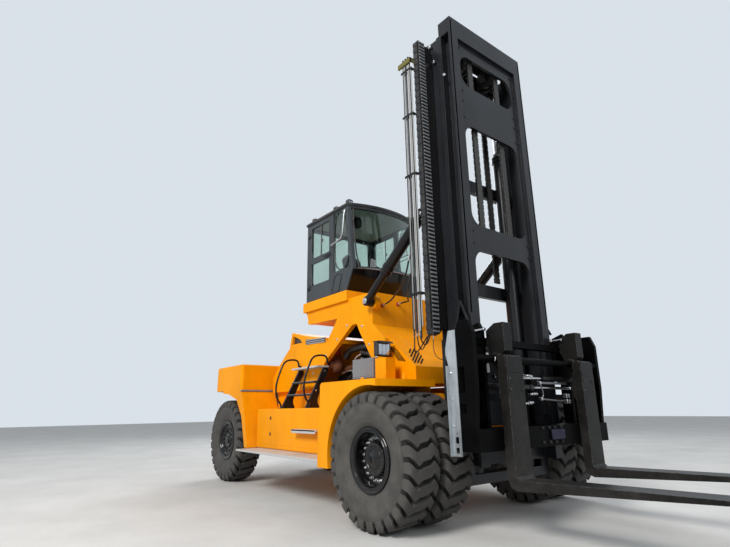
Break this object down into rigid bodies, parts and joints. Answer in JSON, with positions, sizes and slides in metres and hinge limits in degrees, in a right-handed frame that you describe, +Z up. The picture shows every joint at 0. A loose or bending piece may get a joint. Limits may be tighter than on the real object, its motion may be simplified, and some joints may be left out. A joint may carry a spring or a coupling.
{
  "type": "boat forklift",
  "caption": "Yellow marina forklift truck with a raised cab, two-stage mast, wide carriage, long forks, twin front tyres and steered rear wheels.",
  "frame": {"origin": "centre of the bounding box on the floor", "axes": "+X towards the fork tips, +Y to the truck's left, +Z up"},
  "size_m": [10.255, 3.97, 7.29],
  "materials": {
    "yellow_paint": "satin machine yellow",
    "mast_paint": "satin charcoal",
    "black_paint": "black",
    "grey_paint": "grey enamel",
    "tread_plate": "bare tread plate",
    "galvanised": "galvanised",
    "fork_steel": "charcoal, scuffed",
    "rod_chrome": "hard chrome",
    "tyre_rubber": "dusty sidewalls",
    "rim_steel": "gloss black",
    "axle_steel": "dark",
    "engine_iron": "dark castings",
    "cab_glass": "clear tinted",
    "seat_fabric": "woven",
    "console_plastic": "grained",
    "chain_plastic": "moulded",
    "chain_steel": "oiled",
    "tube_steel": "zinc plated",
    "lamp_glass": "black housings"
  },
  "bodies": {
    "chassis": {"cab_glass": "cab_glass", "cab_shell": "black_paint", "chassis_frame": "yellow_paint", "console": "console_plastic", "control_box": "grey_paint", "counterweight": "yellow_paint", "drive_axle": "axle_steel", "driver_cushion": "seat_fabric", "engine_block": "engine_iron", "front_cowl": "yellow_paint", "front_fenders": "yellow_paint", "gantry": "yellow_paint", "handrails": "black_paint", "hood": "yellow_paint", "ladders": "black_paint", "running_boards": "tread_plate", "side_tanks": "yellow_paint", "steer_axle": "axle_steel", "top_treads": "tread_plate", "work_lamps": "lamp_glass"},
    "front_left_wheel": {"front_left_tyres": "tyre_rubber", "front_left_rims": "rim_steel"},
    "front_right_wheel": {"front_right_tyres": "tyre_rubber", "front_right_rims": "rim_steel"},
    "rear_left_wheel": {"rear_left_tyre": "tyre_rubber", "rear_left_rim": "rim_steel"},
    "rear_right_wheel": {"rear_right_tyre": "tyre_rubber", "rear_right_rim": "rim_steel"},
    "left_steer": {"left_knuckle": "axle_steel"},
    "right_steer": {"right_knuckle": "axle_steel"},
    "mast": {"outer_mast": "mast_paint", "lift_cylinder_barrels": "mast_paint", "energy_chain": "chain_plastic", "mast_tubes": "tube_steel"},
    "inner_mast": {"inner_mast": "mast_paint", "lift_rods": "rod_chrome", "lift_chains": "chain_steel"},
    "carriage": {"carriage": "mast_paint", "side_guards": "galvanised", "positioner_barrels": "black_paint"},
    "left_fork": {"left_fork": "fork_steel", "left_positioner_rod": "rod_chrome"},
    "right_fork": {"right_fork": "fork_steel", "right_positioner_rod": "rod_chrome"},
    "left_tilt_barrel": {"left_tilt_barrel": "mast_paint"},
    "right_tilt_barrel": {"right_tilt_barrel": "mast_paint"},
    "left_tilt_rod": {"left_tilt_rod": "black_paint"},
    "right_tilt_rod": {"right_tilt_rod": "black_paint"},
    "left_door": {"left_door": "black_paint", "left_door_glass": "cab_glass"},
    "right_door": {"right_door": "black_paint", "right_door_glass": "cab_glass"}
  },
  "joints": [
    {"name": "front_left_wheel_spin", "type": "hinge", "parent": "chassis", "child": "front_left_wheel", "pos_m": [1.3225, 1.45, 0.81], "axis": [0, 1, 0], "continuous": true},
    {"name": "front_right_wheel_spin", "type": "hinge", "parent": "chassis", "child": "front_right_wheel", "pos_m": [1.3225, -1.45, 0.81], "axis": [0, 1, 0], "continuous": true},
    {"name": "left_steering", "type": "hinge", "parent": "chassis", "child": "left_steer", "pos_m": [-4.1375, 0.98, 0.81], "axis": [0, 0, 1], "range_deg": [-40, 40]},
    {"name": "right_steering", "type": "hinge", "parent": "chassis", "child": "right_steer", "pos_m": [-4.1375, -0.98, 0.81], "axis": [0, 0, 1], "range_deg": [-40, 40]},
    {"name": "rear_left_wheel_spin", "type": "hinge", "parent": "left_steer", "child": "rear_left_wheel", "pos_m": [-4.1375, 1.285, 0.81], "axis": [0, 1, 0], "continuous": true},
    {"name": "rear_right_wheel_spin", "type": "hinge", "parent": "right_steer", "child": "rear_right_wheel", "pos_m": [-4.1375, -1.285, 0.81], "axis": [0, 1, 0], "continuous": true},
    {"name": "mast_tilt", "type": "hinge", "parent": "chassis", "child": "mast", "pos_m": [1.5925, 0, 0.55], "axis": [0, 1, 0], "range_deg": [-10, 5]},
    {"name": "inner_mast_lift", "type": "slide", "parent": "mast", "child": "inner_mast", "axis": [0, 0, 1], "range_m": [-0.23, 4.27]},
    {"name": "carriage_lift", "type": "slide", "parent": "inner_mast", "child": "carriage", "axis": [0, 0, 1], "range_m": [-0.23, 4.27]},
    {"name": "left_fork_slide", "type": "slide", "parent": "carriage", "child": "left_fork", "axis": [0, 1, 0], "range_m": [-0.4, 0.33]},
    {"name": "right_fork_slide", "type": "slide", "parent": "carriage", "child": "right_fork", "axis": [0, 1, 0], "range_m": [-0.33, 0.4]},
    {"name": "left_tilt_barrel_turn", "type": "hinge", "parent": "mast", "child": "left_tilt_barrel", "pos_m": [1.5525, 1.065, 4.12], "axis": [0, 1, 0], "range_deg": [-4.5, 2.27]},
    {"name": "right_tilt_barrel_turn", "type": "hinge", "parent": "mast", "child": "right_tilt_barrel", "pos_m": [1.5525, -1.065, 4.12], "axis": [0, 1, 0], "range_deg": [-4.5, 2.27]},
    {"name": "left_tilt_rod_slide", "type": "slide", "parent": "left_tilt_barrel", "child": "left_tilt_rod", "axis": [-0.7803, 0, -0.6254], "range_m": [-0.481, 0.241]},
    {"name": "right_tilt_rod_slide", "type": "slide", "parent": "right_tilt_barrel", "child": "right_tilt_rod", "axis": [-0.7803, 0, -0.6254], "range_m": [-0.481, 0.241]},
    {"name": "left_door_hinge", "type": "hinge", "parent": "chassis", "child": "left_door", "pos_m": [-1.9245, 0.866, 4.3], "axis": [0, 0, 1], "range_deg": [0, 90]},
    {"name": "right_door_hinge", "type": "hinge", "parent": "chassis", "child": "right_door", "pos_m": [-1.9245, -0.866, 4.3], "axis": [0, 0, 1], "range_deg": [-90, 0]}
  ],
  "couplings": [
    {"joint": "right_steering", "follows": "left_steering", "ratio": 1},
    {"joint": "carriage_lift", "follows": "inner_mast_lift", "ratio": 1},
    {"joint": "left_tilt_barrel_turn", "follows": "mast_tilt", "ratio": 0.445},
    {"joint": "right_tilt_barrel_turn", "follows": "mast_tilt", "ratio": 0.445},
    {"joint": "left_tilt_rod_slide", "follows": "mast_tilt", "m_per_rad": 2.75},
    {"joint": "right_tilt_rod_slide", "follows": "mast_tilt", "m_per_rad": 2.75}
  ]
}
